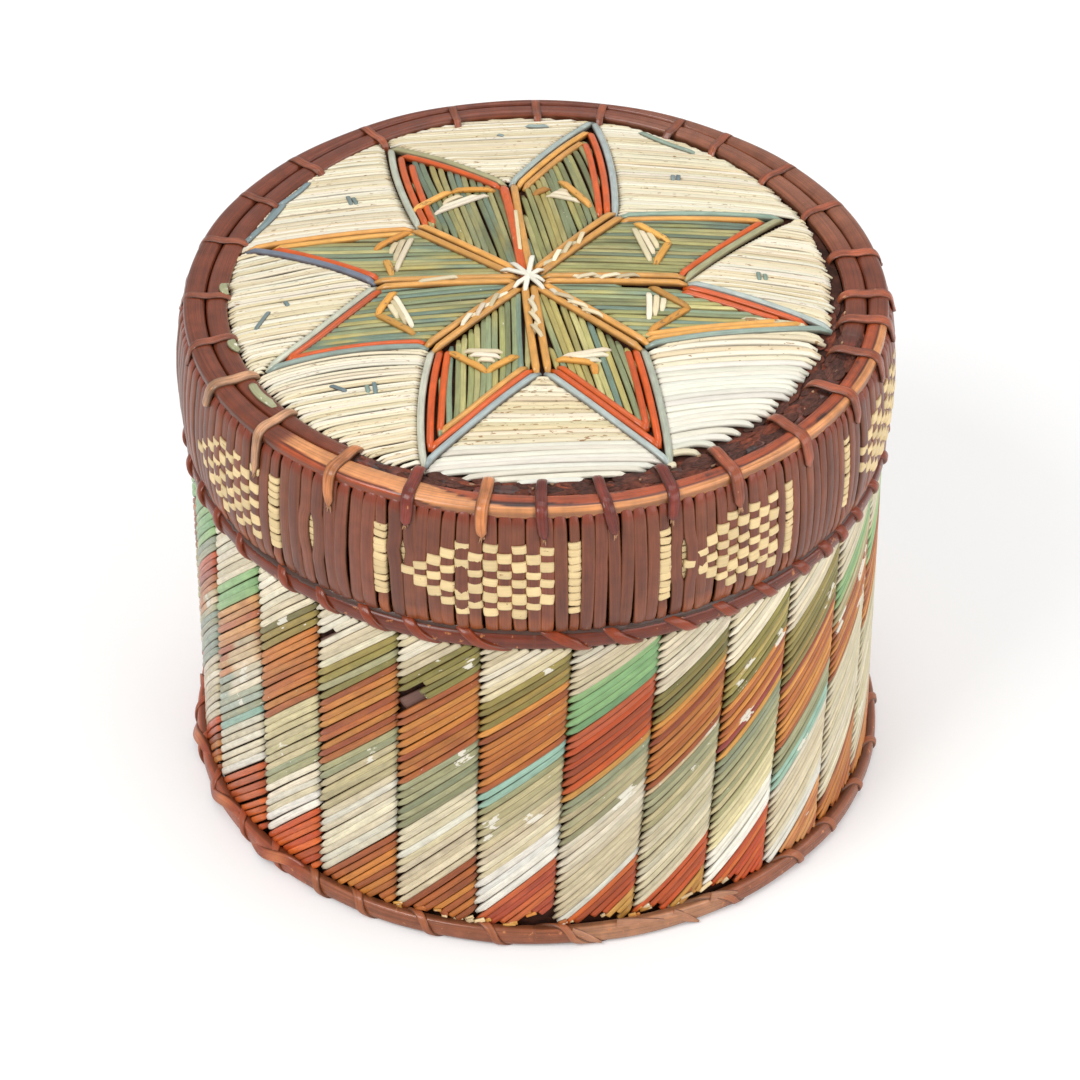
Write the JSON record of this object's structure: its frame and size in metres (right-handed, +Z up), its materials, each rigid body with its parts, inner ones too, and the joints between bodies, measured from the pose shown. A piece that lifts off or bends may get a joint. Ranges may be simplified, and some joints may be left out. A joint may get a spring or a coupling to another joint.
{
  "type": "quill box",
  "caption": "Round lidded birch-bark box, its sides and domed lid covered in dyed quills, with split-root strips, bound hoops and a lid that lifts off.",
  "frame": {"origin": "centre of the bottom face, on the surface that the box stands on", "axes": "+Z up along the box's axis, -Y towards the picture's viewpoint, +X to its right"},
  "size_m": [0.1568, 0.1568, 0.1244],
  "materials": {
    "bark_dark": "dark birch bark, matt",
    "bark_pale": "inner birch bark, matt with fine lenticels",
    "root_strip": "split root, smooth satin",
    "rim_root": "bent root with its skin, satin",
    "binding_root": "split root, satin",
    "quill_cream": "undyed porcupine quill, satin",
    "quill_banded": "dyed porcupine quill in colour bands, satin",
    "quill_green": "green-dyed porcupine quill, satin",
    "quill_blue": "blue-grey dyed porcupine quill, satin",
    "quill_red": "orange-red dyed porcupine quill, satin",
    "quill_ochre": "ochre-dyed porcupine quill, satin"
  },
  "bodies": {
    "box": {"box_base_disc": "bark_pale", "box_wall": "bark_dark", "box_liner": "bark_pale", "base_hoop": "rim_root", "base_hoop_binding": "binding_root", "quill_column_01": "quill_banded", "quill_column_02": "quill_banded", "quill_column_03": "quill_banded", "quill_column_04": "quill_banded", "quill_column_05": "quill_banded", "quill_column_06": "quill_banded", "quill_column_07": "quill_banded", "quill_column_08": "quill_banded", "quill_column_09": "quill_banded", "quill_column_10": "quill_banded", "quill_column_11": "quill_banded", "quill_column_12": "quill_banded", "quill_column_13": "quill_banded", "quill_column_14": "quill_banded", "quill_column_15": "quill_banded", "quill_column_16": "quill_banded", "quill_column_17": "quill_banded", "quill_column_18": "quill_banded", "quill_column_19": "quill_banded", "quill_column_20": "quill_banded", "quill_column_21": "quill_banded", "quill_column_22": "quill_banded", "quill_column_23": "quill_banded", "quill_column_24": "quill_banded", "quill_column_25": "quill_banded", "quill_column_26": "quill_banded"},
    "lid": {"lid_band": "bark_dark", "lid_weft_quills": "quill_cream", "lid_root_strips": "root_strip", "lower_hoop": "rim_root", "lower_hoop_binding": "binding_root", "outer_rim_hoop": "rim_root", "inner_rim_hoop": "rim_root", "rim_lashing": "binding_root", "lid_top_bark": "bark_dark", "lid_lining": "bark_pale", "star_petal_1": "quill_green", "star_petal_2": "quill_green", "star_petal_3": "quill_green", "star_petal_4": "quill_green", "star_petal_5": "quill_green", "star_petal_6": "quill_green", "star_petal_7": "quill_green", "star_petal_8": "quill_green", "cream_field_1": "quill_cream", "cream_field_2": "quill_cream", "cream_field_3": "quill_cream", "cream_field_4": "quill_cream", "cream_field_5": "quill_cream", "cream_field_6": "quill_cream", "cream_field_7": "quill_cream", "cream_field_8": "quill_cream", "star_outline_blue": "quill_blue", "star_outline_red": "quill_red", "star_spokes": "quill_ochre"}
  },
  "joints": [
    {"name": "lid_lift", "type": "slide", "parent": "box", "child": "lid", "axis": [0, 0, 1], "range_m": [0, 0.09]}
  ]
}
